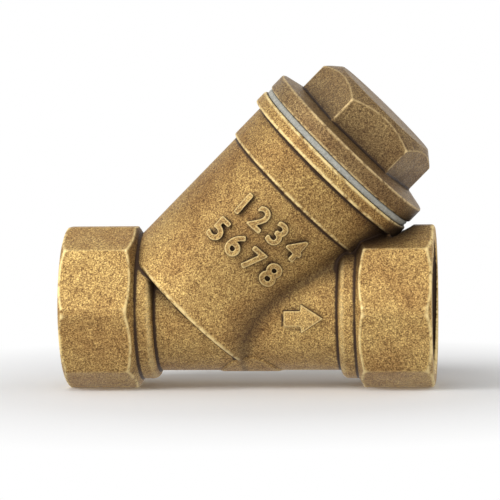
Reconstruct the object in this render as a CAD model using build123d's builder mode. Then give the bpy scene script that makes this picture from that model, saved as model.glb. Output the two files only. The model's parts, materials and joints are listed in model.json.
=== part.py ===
"""Brass Y strainer for DN 15 pipe, with its screw cap, gasket and screen cartridge.

The run lies along X, with the flow towards +X, and the origin is the centre of the inlet's
mouth. The branch leaves the run at 45 degrees, up and towards the outlet. Millimetres, +Z up.
"""

from build123d import *
import os
from math import cos, pi, radians, sin, sqrt

os.makedirs("parts", exist_ok=True)

# ---------------------------------------------------------------- run and pipe ends
face_to_face = 58.0  # from the inlet's mouth to the outlet's
end_across_flats = 25.0  # octagon that the pipe wrench grips
end_length = 11.9  # from the mouth to the collar behind the octagon
end_side_reach = 13.3  # the octagon's front and back corners are trimmed to this
end_top_reach = 12.65  # and its top and bottom corners to this, by the forging's flash line
end_corner_round = 0.35
end_mouth_radius = 12.35  # where the turned chamfer meets the mouth face
end_mouth_chamfer = 0.8
end_back_chamfer = 1.3
collar_radius = 11.4
collar_length = 2.7
collar_round = 1.1
barrel_radius = 10.1
passage_radius = 7.5  # the nominal bore, 15 mm across

# ---------------------------------------------------------------- inside pipe thread
pipe_thread_radius = 9.316  # crests of an inside G 1/2 thread
pipe_thread_chamfer = 0.45
pipe_thread_depth = 11.0

# ---------------------------------------------------------------- branch
branch_angle = 45.0
branch_x = 19.5  # where its axis crosses the run's
branch_radius = 13.55
branch_foot_round = 0.5
boss_start = 24.4  # distances along the branch from the crossing
boss_radius = 14.1
lip_start = 30.4
lip_margin = 0.4  # the lip goes past the gasket by this
branch_mouth = 32.6
edge_round = 0.25  # small edges of the boss, lip, cap and rings
lip_relief_clearance = 0.7  # round the lip, where it passes the outlet's octagon
valley_round = 1.6  # cast blend between the barrel and the branch, on the outlet's side

# ---------------------------------------------------------------- chamber
chamber_radius = 10.9
chamber_floor = 2.0
cap_thread_radius = 11.19  # crests of the inside M24 x 1.5 thread
cap_thread_relief_radius = 12.1
cap_thread_start = 25.6
shelf_height = -2.5  # the screen stands on this shelf
shelf_thickness = 1.0
shelf_radius = 6.3
screen_clearance = 0.3  # round both end rings of the screen

# ---------------------------------------------------------------- gasket and cap
gasket_width = 2.65
gasket_thickness = 1.0
gasket_clearance = 0.15
flange_margin = 0.2  # the flange goes past the gasket by this
flange_thickness = 2.7
flange_fall = 0.8  # the flange's top slopes down from the hexagon by this
hexagon_across_flats = 20.2
hexagon_height = 6.7
hexagon_turn = 8.5  # where the cap happened to stop when it was tightened
hexagon_chamfer = 2.0
hexagon_top_radius = 9.3
cap_thread_clearance = 0.12
cap_thread_length = 7.2
cap_neck_radius = 10.4  # run-out groove under the flange
cap_neck_length = 1.3
cap_recess_margin = 1.3  # the recess goes past the gasket's plane by this
cap_core_radius = 6.0
cap_core_depth = 3.0

# ---------------------------------------------------------------- screen cartridge
screen_radius = 7.5
screen_wall = 0.4
screen_hole_radius = 0.75
screen_hole_spacing = 2.9
mesh_gap = 0.05
mesh_wall = 0.25
ring_wall = 0.3
ring_gap = 0.05
ring_height = 2.6
seat_gap = 0.2  # end play of the cartridge in the cap's recess

# ---------------------------------------------------------------- raised marks
mark_height = 0.3
arrow_x = 37.6
arrow_drop = 1.5
arrow_length = 6.1
arrow_head_length = 3.5
arrow_head_width = 4.4
arrow_shaft_width = 2.3
pad_x = 29.1
pad_length = 9.8
pad_width = 14.0

# ---------------------------------------------------------------- planes and axes
tilt = radians(branch_angle)
along_branch = Vector(cos(tilt), 0, sin(tilt))
across_branch = Vector(sin(tilt), 0, -cos(tilt))
crossing = Vector(branch_x, 0, 0)
across = Plane(origin=crossing, x_dir=across_branch, z_dir=along_branch)
section = Plane(origin=crossing, x_dir=along_branch, z_dir=(0, -1, 0))
branch_axis = Axis(origin=crossing, direction=along_branch)
mid_run = Plane.YZ.offset(face_to_face / 2)

# ---------------------------------------------------------------- heights along the branch
seat_radius = screen_radius + ring_gap + ring_wall + screen_clearance
flange_face = branch_mouth + gasket_thickness  # underside of the cap's flange
cap_thread_end = flange_face - cap_thread_length
hexagon_base = flange_face + flange_thickness + flange_fall
cap_top = hexagon_base + hexagon_height
gasket_radius = cap_thread_relief_radius + gasket_clearance + gasket_width
flange_radius = gasket_radius + flange_margin
lip_radius = gasket_radius + lip_margin
lip_relief_radius = lip_radius + lip_relief_clearance
recess_floor = flange_face + cap_recess_margin
screen_bottom = shelf_height
screen_top = recess_floor - seat_gap


def save(builder, name):
    """Label a finished piece and write it as its own STEP."""
    builder.part.label = name
    export_step(builder.part, f"parts/{name}.step")


# ---------------------------------------------------------------- pipe end, used twice
end_corner_radius = end_across_flats / 2 / cos(radians(22.5))

with BuildPart() as pipe_end:
    with BuildSketch(Plane.YZ) as octagon:
        RegularPolygon(radius=end_corner_radius, side_count=8)
        Rectangle(2 * end_side_reach, 2 * end_top_reach, mode=Mode.INTERSECT)
        fillet(octagon.vertices(), end_corner_round)
    extrude(amount=end_length)
    with BuildSketch(Plane.XZ) as turned_shape:
        with BuildLine():
            Polyline(
                (0, 0),
                (0, end_mouth_radius),
                (end_mouth_chamfer, end_corner_radius),
                (end_length - end_back_chamfer, end_corner_radius),
                (end_length, collar_radius),
                (end_length, 0),
                close=True,
            )
        make_face()
    revolve(axis=Axis.X, mode=Mode.INTERSECT)
    with BuildSketch(Plane.XZ) as collar_shape:
        with Locations((end_length + collar_length / 2, collar_radius / 2)):
            Rectangle(collar_length, collar_radius)
        fillet(collar_shape.vertices().group_by(Axis.X)[-1].sort_by(Axis.Y)[-1], collar_round)
    revolve(axis=Axis.X)

# ---------------------------------------------------------------- root of the branch
# Barrel and branch cross here at full length, so that the blend runs clean through their
# valley. Only the stretch between the branch's foot and its boss is kept.
with BuildPart() as root:
    with BuildSketch(Plane.YZ):
        Circle(barrel_radius)
    extrude(amount=2 * face_to_face, both=True)
    with BuildSketch(across):
        Circle(branch_radius)
    extrude(amount=2 * branch_mouth, both=True)
    valley = root.edges().filter_by(GeomType.BSPLINE).filter_by_position(Axis.X, branch_x, 2 * face_to_face)
    fillet(valley, valley_round)
    split(bisect_by=across.offset(branch_foot_round), keep=Keep.TOP)
    split(bisect_by=across.offset(boss_start), keep=Keep.BOTTOM)
    split(bisect_by=Plane.YZ.offset(face_to_face - end_length), keep=Keep.BOTTOM)

# ---------------------------------------------------------------- hollows of the body
# The wall that carries the screen's seat parts these two passages.
with BuildPart() as inlet_passage:
    with BuildSketch(Plane.YZ):
        Circle(passage_radius)
    extrude(amount=face_to_face)
    split(bisect_by=across.offset(shelf_height - shelf_thickness), keep=Keep.BOTTOM)

with BuildPart() as outlet_passage:
    with BuildSketch(Plane.YZ):
        Circle(passage_radius)
    extrude(amount=face_to_face)
    split(bisect_by=across.offset(chamber_floor), keep=Keep.TOP)

with BuildPart() as socket:
    with BuildSketch(Plane.XZ):
        with BuildLine():
            Polyline(
                (0, 0),
                (0, pipe_thread_radius + pipe_thread_chamfer),
                (pipe_thread_chamfer, pipe_thread_radius),
                (pipe_thread_depth, pipe_thread_radius),
                (pipe_thread_depth + pipe_thread_radius - passage_radius, passage_radius),
                (pipe_thread_depth + pipe_thread_radius - passage_radius, 0),
                close=True,
            )
        make_face()
    revolve(axis=Axis.X)

# ---------------------------------------------------------------- marks raised on the barrel
with BuildPart() as arrow:
    with BuildSketch(Plane.XZ.offset(barrel_radius / 2)) as arrow_shape:
        with Locations((arrow_x, -arrow_drop)):
            with BuildLine():
                Polyline(
                    (arrow_length / 2, 0),
                    (arrow_length / 2 - arrow_head_length, arrow_head_width / 2),
                    (arrow_length / 2 - arrow_head_length, -arrow_head_width / 2),
                    close=True,
                )
            make_face()
            Rectangle(arrow_length - arrow_head_length, arrow_shaft_width, align=(Align.MAX, Align.CENTER))
    extrude(amount=barrel_radius)
    with BuildSketch(Plane.YZ):
        Circle(barrel_radius + mark_height)
    extrude(amount=face_to_face, mode=Mode.INTERSECT)

# The pad under the barrel has a flat foot, level with the barrel's lowest line.
with BuildPart() as pad:
    with BuildSketch(Plane.XY.offset(-barrel_radius)):
        with Locations((pad_x, 0)):
            Ellipse(pad_length / 2, pad_width / 2)
    extrude(amount=barrel_radius / 2)
    with BuildSketch(Plane.YZ):
        Circle(barrel_radius + mark_height)
    extrude(amount=face_to_face, mode=Mode.INTERSECT)

# ---------------------------------------------------------------- body
with BuildPart() as body:
    with BuildSketch(Plane.YZ.offset(end_length)):
        Circle(barrel_radius)
    extrude(amount=face_to_face - 2 * end_length)
    add(pipe_end.part)
    mirror(pipe_end.part, about=mid_run)
    # The outlet's octagon is faced away where the branch's lip passes over it.
    with BuildSketch(across.offset(lip_start)):
        Circle(lip_relief_radius)
    extrude(amount=branch_mouth, mode=Mode.SUBTRACT)
    add(root.part)
    add(pad.part)
    add(arrow.part)
    # The branch with its boss and lip.
    with BuildSketch(section) as branch_shape:
        with BuildLine():
            Polyline(
                (0, 0),
                (0, branch_radius),
                (boss_start, branch_radius),
                (boss_start, boss_radius),
                (lip_start, boss_radius),
                (lip_start, lip_radius),
                (branch_mouth, lip_radius),
                (branch_mouth, 0),
                close=True,
            )
        make_face()
        fillet(branch_shape.vertices().group_by(Axis.X)[0].sort_by(Axis.Y)[-1], branch_foot_round)
        fillet(branch_shape.vertices().group_by(Axis.Y)[-1], edge_round)
    revolve(axis=branch_axis)
    # Passages, sockets, and the chamber bored down the branch.
    add(inlet_passage.part, mode=Mode.SUBTRACT)
    add(outlet_passage.part, mode=Mode.SUBTRACT)
    add(socket.part, mode=Mode.SUBTRACT)
    mirror(socket.part, about=mid_run, mode=Mode.SUBTRACT)
    with BuildSketch(section):
        with BuildLine():
            Polyline(
                (shelf_height - 2 * shelf_thickness, 0),
                (shelf_height - 2 * shelf_thickness, shelf_radius),
                (shelf_height, shelf_radius),
                (shelf_height, seat_radius),
                (chamber_floor, seat_radius),
                (chamber_floor, chamber_radius),
                (cap_thread_start, chamber_radius),
                (cap_thread_start, cap_thread_radius),
                (branch_mouth - cap_thread_relief_radius + cap_thread_radius, cap_thread_radius),
                (branch_mouth, cap_thread_relief_radius),
                (branch_mouth, 0),
                close=True,
            )
        make_face()
    revolve(axis=branch_axis, mode=Mode.SUBTRACT)
save(body, "body")

# ---------------------------------------------------------------- gasket under the cap's flange
with BuildPart() as cap_gasket:
    with BuildSketch(across.offset(branch_mouth)):
        Circle(gasket_radius)
        Circle(cap_thread_relief_radius + gasket_clearance, mode=Mode.SUBTRACT)
    extrude(amount=gasket_thickness)
save(cap_gasket, "cap_gasket")

# ---------------------------------------------------------------- cap
hexagon_corner_radius = hexagon_across_flats / 2 / cos(radians(30))
cap_thread_outer = cap_thread_radius - cap_thread_clearance

with BuildPart() as cap:
    # hexagon head with a turned chamfer on its corners
    with BuildSketch(across.offset(flange_face + flange_thickness / 2)):
        RegularPolygon(radius=hexagon_corner_radius, side_count=6, rotation=hexagon_turn)
    extrude(amount=cap_top - flange_face - flange_thickness / 2)
    with BuildSketch(section):
        with BuildLine():
            Polyline(
                (flange_face, 0),
                (flange_face, flange_radius),
                (cap_top - hexagon_chamfer, hexagon_corner_radius),
                (cap_top, hexagon_top_radius),
                (cap_top, 0),
                close=True,
            )
        make_face()
    revolve(axis=branch_axis, mode=Mode.INTERSECT)
    # flange, run-out groove and threaded skirt
    with BuildSketch(section) as skirt_shape:
        with BuildLine():
            Polyline(
                (cap_thread_end, 0),
                (cap_thread_end, cap_thread_outer),
                (flange_face - cap_neck_length, cap_thread_outer),
                (flange_face - cap_neck_length, cap_neck_radius),
                (flange_face, cap_neck_radius),
                (flange_face, flange_radius),
                (flange_face + flange_thickness, flange_radius),
                (hexagon_base, hexagon_corner_radius),
                (hexagon_base, 0),
                close=True,
            )
        make_face()
        fillet(skirt_shape.vertices().group_by(Axis.Y)[-1], edge_round)
        chamfer(skirt_shape.vertices().group_by(Axis.X)[0].sort_by(Axis.Y)[-1], 2 * edge_round)
    revolve(axis=branch_axis)
    # recess for the screen's upper end, and the relief above it
    with BuildSketch(section):
        with BuildLine():
            Polyline(
                (cap_thread_end, 0),
                (cap_thread_end, seat_radius),
                (recess_floor, seat_radius),
                (recess_floor, cap_core_radius),
                (recess_floor + cap_core_depth, cap_core_radius),
                (recess_floor + cap_core_depth, 0),
                close=True,
            )
        make_face()
    revolve(axis=branch_axis, mode=Mode.SUBTRACT)
save(cap, "cap")

# ---------------------------------------------------------------- screen cartridge
tube_bottom = screen_bottom + ring_wall
tube_top = screen_top - ring_wall
mesh_radius = screen_radius - screen_wall - mesh_gap
mesh_inner_radius = mesh_radius - mesh_wall
ring_outer_radius = screen_radius + ring_gap + ring_wall
ring_inner_radius = mesh_inner_radius - ring_gap - ring_wall

# Holes run in staggered rows: each plane through the axis drills every second row, on both sides.
holes_round = 2 * round(screen_radius * pi / screen_hole_spacing)
row_step = screen_hole_spacing * sqrt(3) / 2
drilled_length = tube_top - tube_bottom - 2 * ring_height - 2 * screen_hole_spacing
row_pairs = int(drilled_length / row_step / 2)
drilled_middle = (tube_top + tube_bottom) / 2

with BuildPart() as screen_tube:
    with BuildSketch(across.offset(tube_bottom)):
        Circle(screen_radius)
        Circle(screen_radius - screen_wall, mode=Mode.SUBTRACT)
    extrude(amount=tube_top - tube_bottom)
    for turn in range(holes_round):
        angle = radians(180 * turn / holes_round)
        outward = across_branch * cos(angle) + Vector(0, sin(angle), 0)
        shift = row_step / 2 if turn % 2 else -row_step / 2
        with BuildSketch(Plane(origin=crossing, x_dir=along_branch, z_dir=outward)):
            with Locations((drilled_middle + shift, 0)):
                with GridLocations(2 * row_step, 1, row_pairs, 1):
                    Circle(screen_hole_radius)
        extrude(amount=2 * screen_radius, both=True, mode=Mode.SUBTRACT)
save(screen_tube, "screen_tube")

with BuildPart() as screen_mesh:
    with BuildSketch(across.offset(tube_bottom)):
        Circle(mesh_radius)
        Circle(mesh_inner_radius, mode=Mode.SUBTRACT)
    extrude(amount=tube_top - tube_bottom)
save(screen_mesh, "screen_mesh")

# One end ring: a channel pressed from sheet, which holds the ends of the tube and the mesh.
for name, end, inward in (("screen_bottom_ring", screen_bottom, 1), ("screen_top_ring", screen_top, -1)):
    with BuildPart() as end_ring:
        with BuildSketch(section):
            with BuildLine():
                Polyline(
                    (end, ring_inner_radius),
                    (end, ring_outer_radius),
                    (end + inward * ring_height, ring_outer_radius),
                    (end + inward * ring_height, ring_outer_radius - ring_wall),
                    (end + inward * ring_wall, ring_outer_radius - ring_wall),
                    (end + inward * ring_wall, ring_inner_radius + ring_wall),
                    (end + inward * ring_height, ring_inner_radius + ring_wall),
                    (end + inward * ring_height, ring_inner_radius),
                    close=True,
                )
            make_face()
        revolve(axis=branch_axis)
    save(end_ring, name)
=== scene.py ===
# %% [markdown]
# # A brass Y strainer
#
# This lesson dresses a small pipe strainer. The frame holds the strainer as solids at their true size, and every
# step below takes one real piece, looks at how it is made in a factory, and makes it that way in Blender.
# Blender works in metres here. Small parts are easier to think about in millimetres, so the script keeps its
# sizes in millimetres and scales each finished mesh once.

import json
from math import cos, pi, radians, sin, tan

import bmesh
import bpy
import numpy as np
from mathutils import Matrix, Vector

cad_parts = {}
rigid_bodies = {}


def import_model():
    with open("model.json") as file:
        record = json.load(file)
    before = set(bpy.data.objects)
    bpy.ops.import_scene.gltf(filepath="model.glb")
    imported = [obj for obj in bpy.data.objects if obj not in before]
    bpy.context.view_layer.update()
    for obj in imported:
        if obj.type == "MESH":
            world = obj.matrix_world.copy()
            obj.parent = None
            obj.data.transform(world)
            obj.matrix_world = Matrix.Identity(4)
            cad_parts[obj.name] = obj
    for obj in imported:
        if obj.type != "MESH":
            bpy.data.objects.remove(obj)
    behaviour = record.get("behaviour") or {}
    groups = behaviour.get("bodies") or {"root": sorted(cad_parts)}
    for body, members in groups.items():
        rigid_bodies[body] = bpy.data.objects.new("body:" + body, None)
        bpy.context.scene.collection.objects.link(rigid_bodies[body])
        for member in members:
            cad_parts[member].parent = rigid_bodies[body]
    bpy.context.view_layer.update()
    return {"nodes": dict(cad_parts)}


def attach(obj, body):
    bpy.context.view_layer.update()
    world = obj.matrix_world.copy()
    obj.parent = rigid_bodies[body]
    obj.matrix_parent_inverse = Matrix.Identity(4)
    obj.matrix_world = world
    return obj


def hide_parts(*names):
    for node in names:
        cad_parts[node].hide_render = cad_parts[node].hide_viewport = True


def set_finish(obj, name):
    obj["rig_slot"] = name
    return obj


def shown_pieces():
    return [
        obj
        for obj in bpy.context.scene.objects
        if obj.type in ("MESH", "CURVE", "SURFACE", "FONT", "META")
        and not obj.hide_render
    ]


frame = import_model()
MM = 0.001
print("nodes:", ", ".join(sorted(frame["nodes"])))

# %% [markdown]
# The strainer has two directions that matter. The run lies along X, with the inlet's mouth at the origin. The
# branch climbs from the run at 45 degrees towards the outlet. Nearly everything on the branch is turned, so a
# height along its axis and a radius describe it. `branch` is the matrix that carries such a turned shape, drawn
# upright round Z, to its place.

# %% Places along the run and up the branch
run_length = 58.0
branch_foot = 19.5
across = Vector((cos(radians(45)), 0, -sin(radians(45))))
along = Vector((cos(radians(45)), 0, sin(radians(45))))
side = along.cross(across)
branch = Matrix.Translation((branch_foot, 0, 0)) @ Matrix((across, side, along)).transposed().to_4x4()
inlet = Matrix.Rotation(radians(90), 4, "Y")
outlet = Matrix.Translation((run_length, 0, 0)) @ Matrix.Rotation(radians(-90), 4, "Y")
branch_mouth = 32.6
flange_face = 33.6
print("branch mouth at", [round(v, 1) for v in branch @ Vector((0, 0, branch_mouth))], "mm")

# %% [markdown]
# A few helpers. `new_piece` makes an object from corners and faces. `lathe` turns a profile of radius and
# height, as a lathe does, and `helical_ridge` winds one thread ridge. A ridge is a closed solid of its own, so
# it can be joined to a bar for an outside thread, or cut out of a wall for an inside thread.

# %% Helpers for making meshes
def new_piece(name, corners, faces, place=None):
    mesh = bpy.data.meshes.new(name)
    mesh.from_pydata([tuple(c) for c in corners], [], [tuple(f) for f in faces])
    if place is not None:
        mesh.transform(place)
    piece = bpy.data.objects.new(name, mesh)
    bpy.context.scene.collection.objects.link(piece)
    return piece


def wound_grid(rows, columns, close_rows):
    faces = []
    for row in range(rows if close_rows else rows - 1):
        for column in range(columns):
            next_row, next_column = (row + 1) % rows, (column + 1) % columns
            faces.append((
                row * columns + column,
                row * columns + next_column,
                next_row * columns + next_column,
                next_row * columns + column,
            ))
    return faces


def lathe(name, profile, place=None, steps=160):
    """Turns a closed profile of (radius, height) points round Z."""
    corners = [
        (radius * cos(2 * pi * step / steps), radius * sin(2 * pi * step / steps), height)
        for radius, height in profile
        for step in range(steps)
    ]
    return new_piece(name, corners, wound_grid(len(profile), steps, True), place)


def helical_ridge(name, base, tip, tip_width, half_angle, pitch, length, place=None, steps=96):
    """A right-hand ridge of base and tip radius round Z, from height 0, fading in and out at its ends."""
    turns = length / pitch
    stations = int(turns * steps) + 1
    corners = []
    for station in range(stations):
        turn = turns * station / (stations - 1)
        fade = min(1.0, 4 * turn, 4 * (turns - turn))
        peak = base + (tip - base) * max(fade, 0.02)
        wide = tip_width / 2 + (peak - base) * tan(radians(half_angle))
        angle, height = 2 * pi * turn, pitch * turn
        for radius, lift in ((base, -wide), (peak, -tip_width / 2), (peak, tip_width / 2), (base, wide)):
            corners.append((radius * cos(angle), radius * sin(angle), height + lift))
    faces = []
    for station in range(stations - 1):
        for corner in range(4):
            following = (corner + 1) % 4
            faces.append((
                4 * station + corner,
                4 * (station + 1) + corner,
                4 * (station + 1) + following,
                4 * station + following,
            ))
    last = 4 * (stations - 1)
    faces += [(0, 1, 2, 3), (last + 3, last + 2, last + 1, last)]
    return new_piece(name, corners, faces, place)


print("helpers ready")

# %% [markdown]
# Modifiers do the heavy work, and `bake_in` turns their result into the piece's own mesh. `carved` cuts or joins
# with the Manifold solver, which is quick and leaves closed meshes closed.

# %% Helpers for modifiers
def bake_in(piece):
    bpy.context.view_layer.update()
    finished = bpy.data.meshes.new_from_object(piece.evaluated_get(bpy.context.evaluated_depsgraph_get()))
    piece.modifiers.clear()
    piece.data = finished
    return piece


def outward(piece):
    shape = bmesh.new()
    shape.from_mesh(piece.data)
    bmesh.ops.recalc_face_normals(shape, faces=shape.faces)
    shape.to_mesh(piece.data)
    shape.free()
    return piece


def carved(piece, tool, operation):
    outward(tool)
    change = piece.modifiers.new("carve", "BOOLEAN")
    change.operation, change.solver, change.object = operation, "MANIFOLD", tool
    bake_in(piece)
    bpy.data.objects.remove(tool)
    return piece


def from_node(node, name):
    """A copy of a node's mesh in millimetres, as the blank that a piece is made from."""
    mesh = frame["nodes"][node].data.copy()
    mesh.transform(Matrix.Scale(1 / MM, 4))
    mesh.materials.clear()
    blank = bpy.data.objects.new(name, mesh)
    bpy.context.scene.collection.objects.link(blank)
    return blank


def remeshed(piece, voxel):
    change = piece.modifiers.new("skin", "REMESH")
    change.mode, change.voxel_size, change.use_smooth_shade = "VOXEL", voxel, True
    return bake_in(piece)


def place_of(piece):
    points = np.empty(3 * len(piece.data.vertices), np.float32)
    piece.data.vertices.foreach_get("co", points)
    return points.reshape(-1, 3)


def softened(piece, weights, rounds):
    """Relaxes the mesh where weights are above zero, as a file or a worn die rounds an edge."""
    group = piece.vertex_groups.new(name="soft")
    for level in range(1, 9):
        chosen = np.nonzero((weights > (level - 0.5) / 8) & (weights <= (level + 0.5) / 8))[0]
        group.add(chosen.tolist(), level / 8, "REPLACE")
    change = piece.modifiers.new("relax", "SMOOTH")
    change.factor, change.iterations, change.vertex_group = 0.5, rounds, "soft"
    bake_in(piece)
    piece.vertex_groups.clear()
    return piece


def measure_bends(piece, rounds=24):
    """Stores on every corner how far it stands out of its relaxed surroundings, in millimetres, as "bend"."""
    mesh, places = piece.data, place_of(piece).astype(float)
    pairs = np.empty(2 * len(mesh.edges), np.int32)
    mesh.edges.foreach_get("vertices", pairs)
    here = np.concatenate([pairs[0::2], pairs[1::2]])
    there = np.concatenate([pairs[1::2], pairs[0::2]])
    count = np.maximum(np.bincount(here, minlength=len(places)), 1)[:, None]
    relaxed = places.copy()
    for _ in range(rounds):
        sums = [np.bincount(here, relaxed[there, axis], len(places)) for axis in range(3)]
        relaxed = (relaxed + np.stack(sums, axis=1) / count) / 2
    normals = np.empty(3 * len(places), np.float32)
    mesh.vertex_normals.foreach_get("vector", normals)
    bend = ((places - relaxed) * normals.reshape(-1, 3)).sum(axis=1)
    layer = mesh.attributes.new("bend", "FLOAT", "POINT")
    layer.data.foreach_set("value", bend.astype(np.float32))
    return np.percentile(bend, [1, 50, 99]).round(3)


print("modifier helpers ready")

# %% [markdown]
# ## The body's forging
#
# The real body is hot-pressed from a slug of brass between two dies, so every outside corner is a little round
# and the branch flows into the barrel with a soft valley. One way would be to bevel the edges one by one, but
# where two cylinders meet the bevel tool struggles. A voxel remesh is closer to what the die does: it wraps the
# whole blank in one even skin, and relaxing that skin rounds it. The voxel has to be well under the smallest
# rounding, so a fifth of a millimetre.

# %% Skin of the body
body_voxel = 0.2

body = from_node("body", "strainer_body")
remeshed(body, body_voxel)
softened(body, np.ones(len(body.data.vertices)), 2)
print("body skin:", len(body.data.polygons), "faces")

# %% [markdown]
# The raised numbers stand where the foundry puts its size marks, and the arrow gives the direction of flow. They
# are pressed in the direction in which the dies open, so each one is a straight prism, trimmed to a thin layer
# over the branch or the barrel. A mark is skinned by itself with a much finer voxel and then joined on, which
# keeps a crisp crease round its foot.

# %% Raised numbers and arrow
branch_radius, barrel_radius = 13.55, 10.1
mark_proud, mark_root, mark_voxel = 0.75, 0.7, 0.09
number_rows, number_slant = {"1234": 18.9, "5678": 13.4}, radians(3)
number_size, number_spacing, number_shift, stroke_growth = 5.2, 1.36, 0.4, 0.13
arrow_centre, arrow_drop, arrow_length, arrow_head = 38.1, 1.2, 6.1, 3.5
arrow_head_half, arrow_shaft_half = 2.3, 1.2
branch_layer, barrel_layer = (2, 30), (30, 45)


def mark_on(piece, mark, radius, low, high, place, wider=0.0):
    """Trims a prism to a layer of the given radius and heights along place's Z, softens it and joins it on."""
    remeshed(mark, mark_voxel)
    swell = mark.modifiers.new("swell", "DISPLACE")
    swell.strength, swell.mid_level = wider, 0.0
    bake_in(mark)
    inner, outer = radius - mark_root, radius + mark_proud
    carved(mark, lathe("layer", [(inner, low), (outer, low), (outer, high), (inner, high)], place, 360), "INTERSECT")
    remeshed(mark, mark_voxel)
    softened(mark, np.ones(len(mark.data.vertices)), 3)
    carved(piece, mark, "UNION")


def number_row(text, height_up):
    curve = bpy.data.curves.new("numbers", "FONT")
    curve.body, curve.size, curve.align_x, curve.align_y = text, number_size, "CENTER", "CENTER"
    curve.extrude, curve.offset, curve.space_character = branch_radius / 2, 0.05, number_spacing
    letters = bpy.data.objects.new("numbers", curve)
    bpy.context.scene.collection.objects.link(letters)
    bpy.context.view_layer.update()
    bake = bpy.data.meshes.new_from_object(letters.evaluated_get(bpy.context.evaluated_depsgraph_get()))
    bpy.data.objects.remove(letters)
    facing = Matrix((across, along, -side)).transposed().to_4x4() @ Matrix.Rotation(number_slant, 4, "Z")
    centre = branch @ Vector((number_shift, 0, height_up)) - side * branch_radius
    bake.transform(Matrix.Translation(centre) @ facing)
    row = bpy.data.objects.new("numbers", bake)
    bpy.context.scene.collection.objects.link(row)
    return row


for text, height_up in number_rows.items():
    mark_on(body, number_row(text, height_up), branch_radius, *branch_layer, branch, stroke_growth)

tip, neck, tail = arrow_length / 2, arrow_length / 2 - arrow_head, -arrow_length / 2
outline = [
    (tip, 0), (neck, arrow_head_half), (neck, arrow_shaft_half), (tail, arrow_shaft_half),
    (tail, -arrow_shaft_half), (neck, -arrow_shaft_half), (neck, -arrow_head_half),
]
front = [(arrow_centre + x, -barrel_radius - 1, z - arrow_drop) for x, z in outline]
back = [(x, -barrel_radius / 2, z) for x, y, z in front]
points = len(outline)
sides = [(i, (i + 1) % points, points + (i + 1) % points, points + i) for i in range(points)]
arrow = new_piece("arrow", front + back, [range(points - 1, -1, -1), range(points, 2 * points), *sides])
mark_on(body, outward(arrow), barrel_radius, *barrel_layer, inlet)
print("body with its marks:", len(body.data.polygons), "faces")

# %% [markdown]
# The pipe threads are cut with a tap after forging. An inside thread is a groove, so a helical ridge is wound a
# little larger than the bore and cut out of the wall. The tap needs a countersink to start in, which is a plain
# turned cone. Both mouths get the same two cuts, turned to face outwards.

# %% Pipe threads in both ends
thread_crest, thread_root, thread_pitch = 9.316, 10.478, 1.814
thread_root_width, thread_half_angle, thread_length = 0.302, 27.5, 9.2
countersink_radius, tap_overlap = 10.6, 0.15
cone_tip_radius = thread_crest - 0.4
cone_depth = countersink_radius - cone_tip_radius
cone_profile = [(0.05, -1), (countersink_radius + 1, -1), (cone_tip_radius, cone_depth), (0.05, cone_depth)]

for mouth in (inlet, outlet):
    start = mouth @ Matrix.Translation((0, 0, -thread_pitch))
    groove = helical_ridge(
        "tap", thread_crest - tap_overlap, thread_root, thread_root_width, thread_half_angle,
        thread_pitch, thread_length + thread_pitch, start,
    )
    carved(body, groove, "DIFFERENCE")
    carved(body, lathe("countersink", cone_profile, mouth), "DIFFERENCE")
print("threaded ends:", len(body.data.polygons), "faces")

# %% [markdown]
# The branch's own thread takes the cap. Both are wound from the same height, so ridge and groove stay in step
# while the cap is screwed in. The inside groove is cut a tenth of a millimetre deeper than the ridge is high.

# %% Thread in the branch
cap_thread_crest, cap_thread_root, cap_thread_pitch = 11.19, 12.0, 1.5
cap_thread_half_angle, cap_thread_width, cap_thread_play = 30.0, 0.188, 0.12
cap_thread_first, cap_thread_overlap, run_out = 26.35, 0.12, 0.6

groove = helical_ridge(
    "tap", cap_thread_crest - cap_thread_overlap, cap_thread_root,
    cap_thread_width, cap_thread_half_angle, cap_thread_pitch,
    branch_mouth + cap_thread_pitch - cap_thread_first, branch @ Matrix.Translation((0, 0, cap_thread_first)),
)
carved(body, groove, "DIFFERENCE")
print("threaded branch:", len(body.data.polygons), "faces")

# %% [markdown]
# The brass gets painted shade in the hollow between branch and barrel, it is made darker up the branch
# towards its lip, and the raised marks get a painted highlight along their rims. The shape knows all these
# places, so each corner of the mesh stores how strongly each of them holds there, and the material reads it.

# %% Painted shade, darkening up the branch and painted highlight, and the finished body
crease_reach = 2.4
darkening_run, darkening_share, darkening_limit = 12, 0.75, 15.8
lip_darkening_start, lip_darkening_run = 29, 2
number_field = {"middle": 16, "half_length": 8, "half_width": 8.5, "lowest": 3.5}
arrow_field = {"half_length": 3.4, "half_width": 2.5}
full_mark, highest_mark = 0.5, 1


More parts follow.
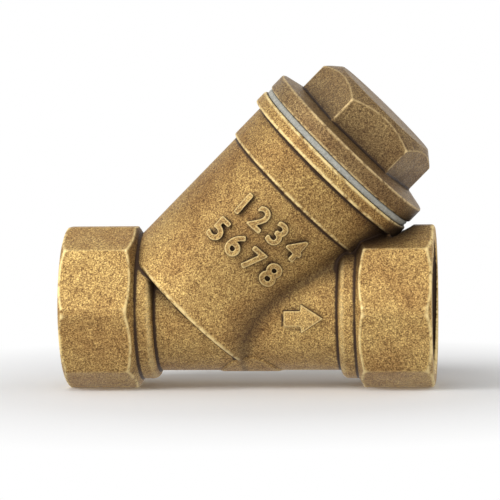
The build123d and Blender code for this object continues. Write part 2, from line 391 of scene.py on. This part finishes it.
def store_shade_and_highlight_masks(piece):
    """Stores on every corner, from 0 to 1, how far it lies in the crease on the outlet's side ("crease"), where the
    material paints shade, how much darker the branch is made there ("upward_darkening"), and whether it's on top
    of a raised mark ("raised"), whose rim gets a painted highlight."""
    x, y, z = place_of(piece).T
    outwards = ((x - branch_foot) - z) * cos(radians(45))
    upwards = ((x - branch_foot) + z) * cos(radians(45))
    from_axis, from_run = np.hypot(outwards, y), np.hypot(y, z)
    # Painted shade: the crease marks the branch's side of the hollow on the outlet's side, darkened in the material.
    near = 1 - (2 * np.abs(from_axis - branch_radius) + np.abs(from_run - barrel_radius)) / crease_reach
    crease = np.clip(near, 0, 1) * np.clip((outwards - 2) / 3, 0, 1)
    # Made darker up the branch, with a further step near the lip.
    upward_darkening = darkening_share * np.clip(upwards / darkening_run, 0, 1)
    upward_darkening += (1 - darkening_share) * np.clip((upwards - lip_darkening_start) / lip_darkening_run, 0, 1)
    upward_darkening *= np.clip(darkening_limit - from_axis, 0, 1)
    on_branch = np.abs(upwards - number_field["middle"]) < number_field["half_length"]
    on_branch &= (np.abs(outwards) < number_field["half_width"]) & (z > number_field["lowest"])
    on_barrel = np.abs(x - arrow_centre) < arrow_field["half_length"]
    on_barrel &= np.abs(z + arrow_drop) < arrow_field["half_width"]
    standing = np.where(on_branch, from_axis - branch_radius, from_run - barrel_radius)
    marked = (y < 0) & (on_branch | on_barrel) & (standing < highest_mark)
    # Marks where the rims of raised marks get a painted highlight in the material.
    raised = marked * np.clip(standing / full_mark, 0, 1)
    for name, value in (("crease", crease), ("upward_darkening", upward_darkening), ("raised", raised)):
        layer = piece.data.attributes.new(name, "FLOAT", "POINT")
        layer.data.foreach_set("value", value.astype(np.float32))
    return int((crease > 0).sum())


def finished(piece, node, body_name, slot_name):
    """Scales a piece from millimetres to metres and hands it to the frame in place of its node."""
    piece.data.transform(Matrix.Scale(MM, 4))
    for polygon in piece.data.polygons:
        polygon.use_smooth = True
    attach(piece, body_name)
    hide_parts(node)
    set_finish(piece, slot_name)
    return piece


print("bends of the body, low, middle and high:", measure_bends(body))
print("corners in the crease:", store_shade_and_highlight_masks(body))
finished(body, "body", "body", "cast_brass")
print("body:", len(body.data.polygons), "faces")

# %% [markdown]
# ## The cap
#
# The cap is turned from the same brass: a hexagon for the spanner, a flange that presses on the gasket, and a
# threaded skirt below it that nobody sees until the cap is off. The blank is skinned like the body, with a finer
# voxel because its edges are crisper, and then the thread's ridge is joined on.

# %% Cap
cap_voxel = 0.16

cap = from_node("cap", "screw_cap")
remeshed(cap, cap_voxel)
softened(cap, np.ones(len(cap.data.vertices)), 2)
ridge = helical_ridge(
    "ridge", cap_thread_crest - cap_thread_play - cap_thread_overlap, cap_thread_root - cap_thread_play,
    cap_thread_width, cap_thread_half_angle, cap_thread_pitch,
    flange_face - run_out - cap_thread_first - cap_thread_pitch,
    branch @ Matrix.Translation((0, 0, cap_thread_first + cap_thread_pitch)),
)
carved(cap, ridge, "UNION")
print("bends of the cap:", measure_bends(cap))
finished(cap, "cap", "cap", "turned_brass")
print("cap:", len(cap.data.polygons), "faces")

# %% [markdown]
# ## The gasket
#
# A flat ring of pressed fibre, squeezed until its rim bulges a little. Only the rim shows. A lathe profile with
# two rounded corners and a slight belly says that better than a plain washer would.

# %% Gasket
gasket_inner, gasket_outer, gasket_corner, gasket_belly = 12.25, 14.9, 0.25, 0.05
quarter = [radians(angle) for angle in range(0, 91, 15)]


def rounded_ring(inner, outer, low, high, corner, belly=0.0):
    profile = [(inner, low), (outer - corner - belly, low)]
    profile += [(outer - belly - corner * (1 - sin(a)), low + corner * (1 - cos(a))) for a in quarter]
    profile += [(outer, (low + high) / 2)]
    profile += [(outer - belly - corner * (1 - cos(a)), high - corner * (1 - sin(a))) for a in quarter]
    profile += [(outer - corner - belly, high), (inner, high)]
    return profile


gasket = lathe(
    "flat_gasket",
    rounded_ring(gasket_inner, gasket_outer, branch_mouth, flange_face, gasket_corner, gasket_belly),
    branch,
)
outward(gasket)
finished(gasket, "cap_gasket", "cartridge", "gasket")
print("gasket:", len(gasket.data.polygons), "faces")

# %% [markdown]
# ## The screen
#
# The screen is a stainless sheet punched full of holes and rolled into a tube, with a finer woven cloth inside
# it. It hides inside the branch until the cap is drawn. The sheet is drawn flat, cell by cell, each cell a small
# square with a round hole, and then rolled up. Drawing it flat is how the real one starts, and it keeps the holes
# evenly spaced.

# %% Perforated sheet, rolled
sheet_radius, sheet_wall = 7.5, 0.4
sheet_low, sheet_high = -2.2, 34.4
cells_round, hole_radius, hole_sides = 36, 0.43, 12
cell_size = 2 * pi * sheet_radius / cells_round
plain_margin = 3.4
cell_rows = int((sheet_high - sheet_low - 2 * plain_margin) / cell_size)
plain_margin = (sheet_high - sheet_low - cell_rows * cell_size) / 2


def rolled(flat_x, height, radius):
    angle = flat_x / sheet_radius
    return radius * cos(angle), radius * sin(angle), height


def perforated_cell(sheet, centre_x, centre_height):
    """Four corners, a ring of hole corners, and the faces between them, drawn on the roll."""
    outer = []
    for step in range(hole_sides):
        angle = 2 * pi * (step + 0.5) / hole_sides
        reach = 0.5 * cell_size / max(abs(cos(angle)), abs(sin(angle)))
        outer.append((centre_x + reach * cos(angle), centre_height + reach * sin(angle)))
    inner = [
        (centre_x + hole_radius * cos(2 * pi * (step + 0.5) / hole_sides),
         centre_height + hole_radius * sin(2 * pi * (step + 0.5) / hole_sides))
        for step in range(hole_sides)
    ]
    outer = [sheet.verts.new(rolled(x, height, sheet_radius)) for x, height in outer]
    inner = [sheet.verts.new(rolled(x, height, sheet_radius)) for x, height in inner]
    for step in range(hole_sides):
        following = (step + 1) % hole_sides
        sheet.faces.new((outer[step], outer[following], inner[following], inner[step]))
    for corner in range(4):
        before = int(hole_sides * (2 * corner + 1) / 8 - 0.5) % hole_sides
        x = centre_x + cell_size * (0.5 if corner in (0, 3) else -0.5)
        height = centre_height + cell_size * (0.5 if corner in (0, 1) else -0.5)
        tip = sheet.verts.new(rolled(x, height, sheet_radius))
        sheet.faces.new((outer[before], tip, outer[(before + 1) % hole_sides]))


sheet = bmesh.new()
for row in range(cell_rows):
    for cell in range(cells_round):
        perforated_cell(sheet, cell * cell_size, sheet_low + plain_margin + (row + 0.5) * cell_size)
for low, high in ((sheet_low, sheet_low + plain_margin), (sheet_high - plain_margin, sheet_high)):
    for step in range(4 * cells_round):
        corners = [(step, low), (step + 1, low), (step + 1, high), (step, high)]
        sheet.faces.new([sheet.verts.new(rolled((x - 2) * cell_size / 4, h, sheet_radius)) for x, h in corners])
bmesh.ops.remove_doubles(sheet, verts=sheet.verts, dist=0.001)
bmesh.ops.recalc_face_normals(sheet, faces=sheet.faces)
screen_tube = new_piece("perforated_tube", [], [])
sheet.to_mesh(screen_tube.data)
sheet.free()
screen_tube.data.transform(branch)
wall = screen_tube.modifiers.new("wall", "SOLIDIFY")
wall.thickness, wall.offset = sheet_wall, -1.0
bake_in(screen_tube)
finished(screen_tube, "screen_tube", "cartridge", "stainless")
print("perforated tube:", cell_rows, "rows of", cells_round, "holes,", len(screen_tube.data.polygons), "faces")

# %% [markdown]
# The woven cloth is made wire by wire. Each wire goes over one crossing wire and under the next, which is a sine
# wave with the two sets half a wave apart.

# %% Woven cloth
cloth_radius, wire_radius, weave_depth = 6.93, 0.05, 0.045
wires_up, wires_round, wire_sides = 72, 56, 4
cloth_low, cloth_height = sheet_low + 0.1, sheet_high - sheet_low - 0.2


def wire(corners, faces, route, closed):
    """Adds one wire along a route of points, with a square section turned on its corner."""
    first, count = len(corners), len(route)
    route = [Vector(point) for point in route]
    for index, point in enumerate(route):
        ahead = route[(index + 1) % count] if closed or index + 1 < count else point
        behind = route[index - 1] if closed or index > 0 else point
        heading = (ahead - behind).normalized()
        outwards = Vector((point.x, point.y, 0)).normalized()
        sideways = heading.cross(outwards)
        for step in range(wire_sides):
            angle = 2 * pi * step / wire_sides
            corners.append(point + wire_radius * (cos(angle) * outwards + sin(angle) * sideways))
    for index in range(count if closed else count - 1):
        for step in range(wire_sides):
            here, there = first + wire_sides * index, first + wire_sides * ((index + 1) % count)
            following = (step + 1) % wire_sides
            faces.append((here + step, here + following, there + following, there + step))
    if not closed:
        last = first + wire_sides * (count - 1)
        faces.append(tuple(range(first + wire_sides - 1, first - 1, -1)))
        faces.append(tuple(range(last, last + wire_sides)))


corners, faces = [], []
for up in range(wires_up):
    angle = 2 * pi * up / wires_up
    route = []
    for step in range(2 * wires_round + 1):
        swing = cloth_radius + weave_depth * cos(pi * (step / 2 + up)) * (step % 2 == 0)
        height = cloth_low + cloth_height * step / (2 * wires_round)
        route.append((swing * cos(angle), swing * sin(angle), height))
    wire(corners, faces, route, False)
for row in range(wires_round + 1):
    height = cloth_low + cloth_height * row / wires_round
    route = []
    for step in range(2 * wires_up):
        angle = pi * step / wires_up
        swing = cloth_radius - weave_depth * cos(pi * (step / 2 + row)) * (step % 2 == 0)
        route.append((swing * cos(angle), swing * sin(angle), height))
    wire(corners, faces, route, True)
cloth = new_piece("woven_cloth", corners, faces, branch)
outward(cloth)
finished(cloth, "screen_mesh", "cartridge", "stainless")
print("woven cloth:", wires_up, "by", wires_round + 1, "wires,", len(cloth.data.polygons), "faces")

# %% [markdown]
# Two pressed rings grip the ends of tube and cloth. Each is a channel bent from thin strip, so its profile is an
# outline that goes down one side of the strip and back up the other, with round bends.

# %% End rings
strip, channel_inner, channel_outer, channel_height, bend = 0.3, 6.45, 7.85, 2.6, 0.28
lower_end, upper_end = -2.5, 34.7


def channel_profile(end, inward):
    outline = [(channel_outer, end + inward * channel_height)]
    outline += [(channel_outer - bend * (1 - cos(a)), end + inward * bend * (1 - sin(a))) for a in quarter]
    outline += [(channel_inner + bend * (1 - sin(a)), end + inward * bend * (1 - cos(a))) for a in quarter]
    outline += [
        (channel_inner, end + inward * channel_height),
        (channel_inner + strip, end + inward * channel_height),
        (channel_inner + strip, end + inward * strip),
        (channel_outer - strip, end + inward * strip),
        (channel_outer - strip, end + inward * channel_height),
    ]
    return outline


for name, node, end, inward in (
    ("lower_ring", "screen_bottom_ring", lower_end, 1),
    ("upper_ring", "screen_top_ring", upper_end, -1),
):
    ring = lathe(name, channel_profile(end, inward), branch)
    outward(ring)
    finished(ring, node, "cartridge", "stainless")
    print(name + ":", len(ring.data.polygons), "faces")

# %% [markdown]
# ## Finishes
#
# The brass is shot-blasted after forging. The blast leaves a fine, even grain about a fifth of a millimetre
# across, with darker pits that hold oxide. First come a few helpers that keep the node trees short: each one adds
# a node, links what it's given, and returns the output.

# %% Node helpers
def new_material(name):
    material = bpy.data.materials.new(name)
    material.use_nodes = True
    tree = material.node_tree
    tree.nodes.clear()
    output = tree.nodes.new("ShaderNodeOutputMaterial")
    shader = tree.nodes.new("ShaderNodeBsdfPrincipled")
    tree.links.new(shader.outputs[0], output.inputs[0])
    return material, tree, shader


def noise(tree, where, scale, detail=2.0, roughness=0.5):
    texture = tree.nodes.new("ShaderNodeTexNoise")
    texture.inputs["Scale"].default_value = scale
    texture.inputs["Detail"].default_value = detail
    texture.inputs["Roughness"].default_value = roughness
    tree.links.new(where, texture.inputs["Vector"])
    return texture.outputs["Fac"]


def ramp(tree, value, stops):
    node = tree.nodes.new("ShaderNodeValToRGB")
    elements = node.color_ramp.elements
    while len(elements) < len(stops):
        elements.new(0.5)
    for element, (position, colour) in zip(elements, stops):
        element.position = position
        element.color = (*colour, 1) if len(colour) == 3 else colour
    tree.links.new(value, node.inputs[0])
    return node.outputs[0]


def grey(level):
    return (level, level, level)


def blend(tree, factor, first, second, kind="MIX"):
    node = tree.nodes.new("ShaderNodeMix")
    node.data_type, node.blend_type = "RGBA", kind
    for socket, value in ((node.inputs[0], factor), (node.inputs[6], first), (node.inputs[7], second)):
        if isinstance(value, bpy.types.NodeSocket):
            tree.links.new(value, socket)
        else:
            socket.default_value = value if isinstance(value, float) else (*value, 1)
    return node.outputs[2]


def between(tree, value, low, high):
    node = tree.nodes.new("ShaderNodeMapRange")
    node.interpolation_type = "SMOOTHSTEP"
    node.inputs["From Min"].default_value = low
    node.inputs["From Max"].default_value = high
    tree.links.new(value, node.inputs["Value"])
    return node.outputs["Result"]


def reckoned(tree, operation, first, second):
    node = tree.nodes.new("ShaderNodeMath")
    node.operation = operation
    for socket, value in zip(node.inputs, (first, second)):
        if isinstance(value, bpy.types.NodeSocket):
            tree.links.new(value, socket)
        else:
            socket.default_value = value
    return node.outputs[0]


def times(tree, first, second):
    return reckoned(tree, "MULTIPLY", first, second)


def largest(tree, first, second):
    return reckoned(tree, "MAXIMUM", first, second)


def sum_of(tree, first, second, weight):
    node = tree.nodes.new("ShaderNodeMath")
    node.operation = "MULTIPLY_ADD"
    tree.links.new(second, node.inputs[0])
    node.inputs[1].default_value = weight
    tree.links.new(first, node.inputs[2])
    return node.outputs[0]


def bump(tree, shader, height, distance, strength=1.0):
    node = tree.nodes.new("ShaderNodeBump")
    node.inputs["Strength"].default_value = strength
    node.inputs["Distance"].default_value = distance
    tree.links.new(height, node.inputs["Height"])
    tree.links.new(node.outputs[0], shader.inputs["Normal"])


def object_place(tree):
    return tree.nodes.new("ShaderNodeTexCoord").outputs["Object"]


def stored(tree, name):
    """Reads a value that the mesh stores on its corners."""
    node = tree.nodes.new("ShaderNodeAttribute")
    node.attribute_name = name
    return node.outputs["Fac"]


print("node helpers ready")

# %% [markdown]
# The brass is built up from noise at four sizes: grain, pits, blotches and stains. It is made darker up the
# branch. Then "bend" tells outside edges, which get a painted highlight broken up by noise, from inside corners,
# which get painted shade. The sheltered sides that little light reaches get painted shade too, and more so above
# the run than near the ground.

# %% Blasted brass
# Noise size that breaks up the painted edge highlight, bend ranges for painted highlight on edges and rims and  for
# painted shade in inside corners, and the reach of painted shade in sheltered places.
grain_scale, pit_scale, blotch_scale, stain_scale, highlight_breakup_scale = 4800, 2100, 380, 110, 900
highlight_bend, rim_bend, shade_bend = (0.035, 0.14), (0.01, 0.06), (-0.008, -0.09)
shelter_distance, shelter_range, crease_shade = 10 * MM, (0.93, 0.35), 0.75
# The colour that the brass is multiplied by where the branch is made darkest.
upward_darkening_colour = (0.64, 0.6, 0.57)


def blasted_brass(name, dark, middle, bright, highlight_colour, shade_colour, roughness):
    material, tree, shader = new_material(name)
    place = object_place(tree)
    grain = noise(tree, place, grain_scale, 3, 0.65)
    pits = noise(tree, place, pit_scale, 2, 0.5)
    blotch = noise(tree, place, blotch_scale, 4, 0.6)
    stains = noise(tree, place, stain_scale, 3)
    tone = ramp(tree, grain, [(0.33, dark), (0.5, middle), (0.66, bright)])
    for layer in (
        ramp(tree, pits, [(0.3, (0.6, 0.55, 0.55)), (0.52, grey(1.0))]),
        ramp(tree, blotch, [(0.35, (0.86, 0.82, 0.8)), (0.6, grey(1.0))]),
        ramp(tree, stains, [(0.36, (0.82, 0.75, 0.72)), (0.58, grey(1.0))]),
        ramp(tree, stored(tree, "upward_darkening"), [(0.0, grey(1.0)), (1.0, upward_darkening_colour)]),
    ):
        tone = blend(tree, 1.0, tone, layer, "MULTIPLY")

    bend = stored(tree, "bend")
    # Painted highlight on outside edges, broken up by noise.
    highlight_breakup = between(tree, noise(tree, place, highlight_breakup_scale, 3, 0.6), 0.3, 0.55)
    painted_highlight = times(tree, between(tree, bend, *highlight_bend), highlight_breakup)
    # Painted highlight along the rims of the raised marks.
    rim_highlight = ramp(tree, between(tree, bend, *rim_bend), [(0.0, grey(0.04)), (1.0, grey(0.52))])
    painted_highlight = largest(tree, painted_highlight, times(tree, stored(tree, "raised"), rim_highlight))

    # Painted shade in inside corners, where the AO node finds shelter (more above the run than near the ground), and
    # in the crease.
    height = tree.nodes.new("ShaderNodeSeparateXYZ")
    tree.links.new(place, height.inputs[0])
    share = ramp(tree, between(tree, height.outputs["Z"], -8 * MM, 6 * MM), [(0.0, grey(0.3)), (1.0, grey(0.9))])
    hollow = tree.nodes.new("ShaderNodeAmbientOcclusion")
    hollow.samples = 8
    hollow.inputs["Distance"].default_value = shelter_distance
    sheltered = times(tree, between(tree, hollow.outputs["AO"], *shelter_range), share)
    painted_shade = largest(tree, between(tree, bend, *shade_bend), sheltered)
    painted_shade = largest(tree, painted_shade, times(tree, stored(tree, "crease"), crease_shade))

    # Mixes in the painted highlight, then the painted shade.
    tone = blend(tree, painted_shade, blend(tree, painted_highlight, tone, highlight_colour), shade_colour)
    tree.links.new(tone, shader.inputs["Base Color"])
    shine = ramp(tree, blotch, [(0.3, grey(roughness + 0.07)), (0.7, grey(roughness - 0.05))])
    tree.links.new(shine, shader.inputs["Roughness"])
    shader.inputs["Metallic"].default_value = 0.6
    shader.inputs["Specular IOR Level"].default_value = 0.3
    bump(tree, shader, sum_of(tree, grain, pits, 1.0), 0.1 * MM, 0.9)
    return material


# The two colours after bright are the painted highlight and the painted shade.
cast_brass = blasted_brass(
    "cast_brass",
    dark=(0.14, 0.075, 0.025), middle=(0.53, 0.335, 0.115), bright=(1.0, 0.74, 0.27),
    highlight_colour=(0.92, 0.72, 0.34), shade_colour=(0.05, 0.028, 0.016), roughness=0.58,
)
turned_brass = blasted_brass(
    "turned_brass",
    dark=(0.095, 0.054, 0.024), middle=(0.25, 0.16, 0.065), bright=(0.47, 0.33, 0.135),
    highlight_colour=(0.74, 0.55, 0.27), shade_colour=(0.04, 0.024, 0.015), roughness=0.46,
)
for piece, material in ((body, cast_brass), (cap, turned_brass)):
    piece.data.materials.clear()
    piece.data.materials.append(material)
print("brass on body and cap")

# %% [markdown]
# The gasket is pale pressed fibre with short grey threads in it, quite dull. The stainless sheet and cloth are
# smooth metal with fine drawing lines round the tube.

# %% Gasket fibre and stainless steel
def pressed_fibre():
    material, tree, shader = new_material("gasket")
    place = object_place(tree)
    threads = noise(tree, place, 2600, 4, 0.7)
    clouds = noise(tree, place, 300, 3)
    tone = ramp(tree, threads, [(0.3, (0.28, 0.28, 0.24)), (0.65, (0.51, 0.505, 0.45))])
    tone = blend(tree, 1.0, tone, ramp(tree, clouds, [(0.3, grey(0.78)), (0.7, grey(1.0))]), "MULTIPLY")
    tree.links.new(tone, shader.inputs["Base Color"])
    shine = ramp(tree, clouds, [(0.3, grey(0.6)), (0.7, grey(0.75))])
    tree.links.new(shine, shader.inputs["Roughness"])
    bump(tree, shader, threads, 0.03 * MM)
    return material


def stainless():
    material, tree, shader = new_material("stainless")
    place = object_place(tree)
    lines = noise(tree, place, 1800, 3)
    clouds = noise(tree, place, 220, 3)
    tone = ramp(tree, clouds, [(0.3, (0.5, 0.49, 0.47)), (0.7, (0.66, 0.65, 0.63))])
    tree.links.new(tone, shader.inputs["Base Color"])
    tree.links.new(ramp(tree, lines, [(0.3, grey(0.24)), (0.7, grey(0.4))]), shader.inputs["Roughness"])
    shader.inputs["Metallic"].default_value = 1.0
    bump(tree, shader, lines, 0.015 * MM)
    return material


gasket.data.materials.append(pressed_fibre())
steel = stainless()
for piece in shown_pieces():
    if piece.get("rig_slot") == "stainless":
        piece.data.materials.clear()
        piece.data.materials.append(steel)
print("gasket and screen finished")

# %% [markdown]
# ## Studio
#
# A pale floor that turns into plain white further out, a white surround, and four soft lamps: a broad one from
# the upper left, one above, and two weak ones in front and on the right.

# %% Floor and world
floor_height, floor_reach, white_range = -12.65 * MM, 3, (0.04, 0.085)
floor_corners = [(-1, -1), (1, -1), (1, 1), (-1, 1)]
floor = new_piece("floor", [(floor_reach * x, floor_reach * y, 0) for x, y in floor_corners], [(0, 1, 2, 3)])
floor.location = (run_length / 2 * MM, 0, floor_height)
material, tree, shader = new_material("floor")
shader.inputs["Base Color"].default_value = (0.93, 0.93, 0.93, 1)
shader.inputs["Roughness"].default_value = 0.9
plain_white = tree.nodes.new("ShaderNodeEmission")
plain_white.inputs["Color"].default_value = (1, 1, 1, 1)
reach = tree.nodes.new("ShaderNodeVectorMath")
reach.operation = "LENGTH"
tree.links.new(object_place(tree), reach.inputs[0])
far_off = ramp(tree, reach.outputs["Value"], [(white_range[0], grey(0.0)), (white_range[1], grey(1.0))])
ray = tree.nodes.new("ShaderNodeLightPath")
mirrored = largest(tree, ray.outputs["Is Glossy Ray"], ray.outputs["Is Transmission Ray"])
mix = tree.nodes.new("ShaderNodeMixShader")
tree.links.new(largest(tree, far_off, mirrored), mix.inputs[0])
tree.links.new(shader.outputs[0], mix.inputs[1])
tree.links.new(plain_white.outputs[0], mix.inputs[2])
tree.links.new(mix.outputs[0], tree.nodes["Material Output"].inputs[0])
floor.data.materials.append(material)

world = bpy.data.worlds.new("surround")
bpy.context.scene.world = world
world.use_nodes = True
sky = world.node_tree
seen = sky.nodes["Background"]
lit_by = sky.nodes.new("ShaderNodeBackground")
for background, strength in ((seen, 1.0), (lit_by, 0.45)):
    background.inputs["Color"].default_value = (1, 1, 1, 1)
    background.inputs["Strength"].default_value = strength
path = sky.nodes.new("ShaderNodeLightPath")
shown = largest(sky, path.outputs["Is Camera Ray"], path.outputs["Is Glossy Ray"])
shown = largest(sky, shown, path.outputs["Is Transmission Ray"])
choose = sky.nodes.new("ShaderNodeMixShader")
sky.links.new(shown, choose.inputs[0])
sky.links.new(lit_by.outputs[0], choose.inputs[1])
sky.links.new(seen.outputs[0], choose.inputs[2])
sky.links.new(choose.outputs[0], sky.nodes["World Output"].inputs[0])
print("floor", round(floor_height / MM, 2), "mm below the run's axis")

# %% [markdown]
# The lamps stand round the strainer's middle and look at it. The camera stands half a metre off, a little to the
# outlet's side and a little above, with a long lens, so that the two ends keep nearly the same size.

# %% Lamps and camera
middle = Vector((run_length / 2 * MM, 0, 6 * MM))


def lamp(name, place, size, power):
    light = bpy.data.lights.new(name, "AREA")
    light.shape, light.size, light.energy = "DISK", size, power
    holder = bpy.data.objects.new(name, light)
    holder.location = middle + Vector(place)
    holder.rotation_euler = (-Vector(place)).to_track_quat("-Z", "Y").to_euler()
    bpy.context.scene.collection.objects.link(holder)


lamp("key", (-0.50, -0.35, 0.32), 0.42, 2.5)
lamp("top", (-0.06, -0.34, 0.48), 0.3, 0.6)
lamp("front", (0.0, -0.58, 0.05), 0.4, 0.33)
lamp("fill", (0.35, -0.45, 0.02), 0.35, 0.15)

camera_turn, camera_rise, camera_roll, camera_reach = radians(5.79), radians(4.37), radians(0.66), 0.5
camera = bpy.data.objects.new("camera", bpy.data.cameras.new("camera"))
camera.data.lens = 228.0
camera.data.sensor_width = 36
aim = Vector((run_length / 2 * MM, 0, 0))
camera.location = aim + camera_reach * Vector((
    sin(camera_turn) * cos(camera_rise), -cos(camera_turn) * cos(camera_rise), sin(camera_rise),
))
facing = (aim - camera.location).to_track_quat("-Z", "Y")
camera.rotation_euler = (facing @ Matrix.Rotation(-camera_roll, 3, "Z").to_quaternion()).to_euler()
camera.data.shift_x, camera.data.shift_y = -0.0028, 0.1121
camera.data.clip_start = 0.01
bpy.context.scene.collection.objects.link(camera)
bpy.context.scene.camera = camera
bpy.context.scene.view_settings.view_transform = "Standard"
print("camera at", [round(v, 3) for v in camera.location])
